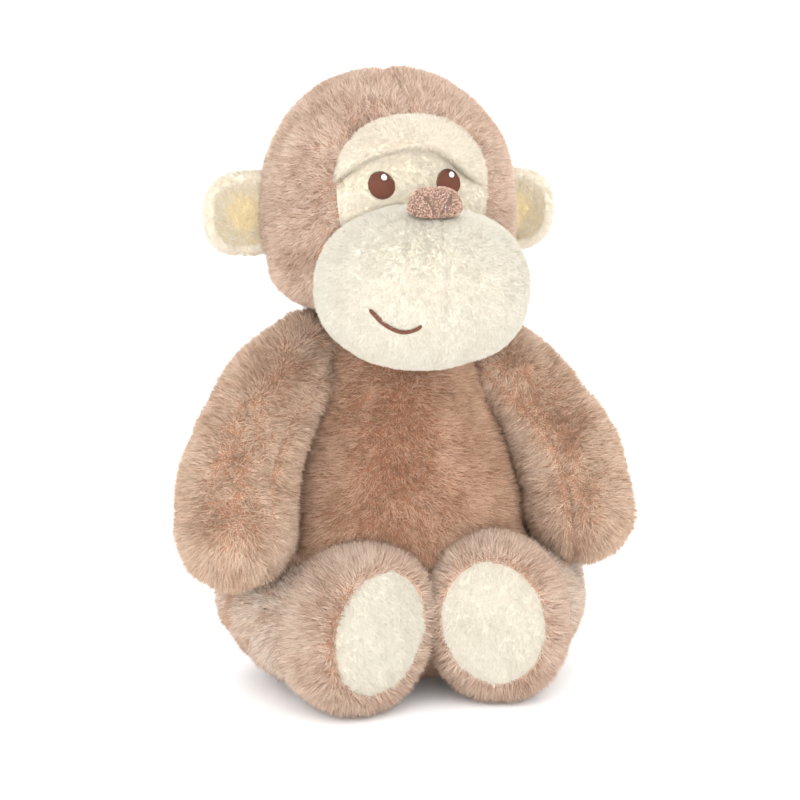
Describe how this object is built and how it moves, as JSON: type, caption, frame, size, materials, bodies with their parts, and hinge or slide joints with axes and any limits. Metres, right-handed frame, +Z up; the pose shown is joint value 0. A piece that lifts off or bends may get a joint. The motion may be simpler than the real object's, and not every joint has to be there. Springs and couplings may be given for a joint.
{
  "type": "stuffed monkey",
  "caption": "Sitting plush monkey with a large round head, cream muzzle and brow, round ears, hanging arms and short legs with pale soles.",
  "frame": {"origin": "middle of the flat seat, on the surface the toy sits on", "axes": "+Z up, the toy faces -Y, its own left side is +X"},
  "size_m": [0.192, 0.136, 0.2487],
  "materials": {
    "body_plush": "soft pile, mid brown",
    "arm_plush": "soft pile, light brown",
    "head_plush": "soft pile, pale brown",
    "cream_plush": "short pile, cream",
    "ear_cream": "short pile, warm cream",
    "ear_inner": "brushed, pale apricot",
    "face_cream": "short pile, yellowish cream",
    "nose_terry": "looped terry, dusty brown",
    "brown_thread": "satin stitch",
    "white_thread": "satin stitch",
    "filling": "loose polyester fibre",
    "pouch_cloth": "plain weave",
    "pellets": "small beads",
    "label_satin": "satin"
  },
  "bodies": {
    "torso": {"seat_panel": "body_plush", "torso_front_panel": "body_plush", "torso_back_left_panel": "body_plush", "torso_back_right_panel": "body_plush", "torso_filling": "filling", "bean_pouch": "pouch_cloth", "bean_pellets": "pellets", "closing_stitches": "brown_thread", "care_label": "label_satin"},
    "neck": {"neck_filling": "filling"},
    "head": {"head_left_panel": "head_plush", "head_right_panel": "head_plush", "head_filling": "filling", "face_patch": "face_cream", "brow_band": "cream_plush", "brow_filling": "filling", "muzzle_left_panel": "cream_plush", "muzzle_right_panel": "cream_plush", "muzzle_filling": "filling", "nose_cover": "nose_terry", "nose_filling": "filling", "left_eye": "brown_thread", "right_eye": "brown_thread", "left_eye_glint": "white_thread", "right_eye_glint": "white_thread", "smile": "brown_thread"},
    "left_ear": {"left_ear_back": "ear_cream", "left_ear_inner": "ear_inner"},
    "left_arm": {"left_arm_outer_panel": "arm_plush", "left_arm_inner_panel": "arm_plush", "left_arm_filling": "filling"},
    "left_leg": {"left_leg_outer_panel": "head_plush", "left_leg_inner_panel": "head_plush", "left_leg_filling": "filling"},
    "left_foot": {"left_foot_cover": "head_plush", "left_foot_filling": "filling", "left_sole_pad": "cream_plush"},
    "right_ear": {"right_ear_back": "ear_cream", "right_ear_inner": "ear_inner"},
    "right_arm": {"right_arm_outer_panel": "arm_plush", "right_arm_inner_panel": "arm_plush", "right_arm_filling": "filling"},
    "right_leg": {"right_leg_outer_panel": "head_plush", "right_leg_inner_panel": "head_plush", "right_leg_filling": "filling"},
    "right_foot": {"right_foot_cover": "head_plush", "right_foot_filling": "filling", "right_sole_pad": "cream_plush"}
  },
  "joints": [
    {"name": "neck_turn", "type": "hinge", "parent": "torso", "child": "neck", "pos_m": [-0.001, 0, 0.141], "axis": [0, 0, 1], "range_deg": [-20, 20]},
    {"name": "head_nod", "type": "hinge", "parent": "neck", "child": "head", "pos_m": [-0.001, 0, 0.141], "axis": [1, 0, 0], "range_deg": [-15, 8]},
    {"name": "left_ear_fold", "type": "hinge", "parent": "head", "child": "left_ear", "pos_m": [0.0507, 0.011, 0.189], "axis": [0, 0, 1], "range_deg": [-20, 20]},
    {"name": "left_shoulder", "type": "hinge", "parent": "torso", "child": "left_arm", "pos_m": [0.036, -0.001, 0.133], "axis": [-1, 0, 0], "range_deg": [0, 45]},
    {"name": "left_hip", "type": "hinge", "parent": "torso", "child": "left_leg", "pos_m": [0.05, -0.005, 0.0285], "axis": [-1, 0, 0], "range_deg": [-12, 6]},
    {"name": "left_ankle", "type": "hinge", "parent": "left_leg", "child": "left_foot", "pos_m": [0.0335, -0.0395, 0.0305], "axis": [-1, 0, 0], "range_deg": [-6, 6]},
    {"name": "right_ear_fold", "type": "hinge", "parent": "head", "child": "right_ear", "pos_m": [-0.0557, 0.011, 0.189], "axis": [0, 0, 1], "range_deg": [-20, 20]},
    {"name": "right_shoulder", "type": "hinge", "parent": "torso", "child": "right_arm", "pos_m": [-0.036, -0.001, 0.133], "axis": [-1, 0, 0], "range_deg": [0, 45]},
    {"name": "right_hip", "type": "hinge", "parent": "torso", "child": "right_leg", "pos_m": [-0.05, -0.005, 0.0285], "axis": [-1, 0, 0], "range_deg": [-12, 6]},
    {"name": "right_ankle", "type": "hinge", "parent": "right_leg", "child": "right_foot", "pos_m": [-0.0335, -0.0395, 0.0305], "axis": [-1, 0, 0], "range_deg": [-6, 6]}
  ]
}
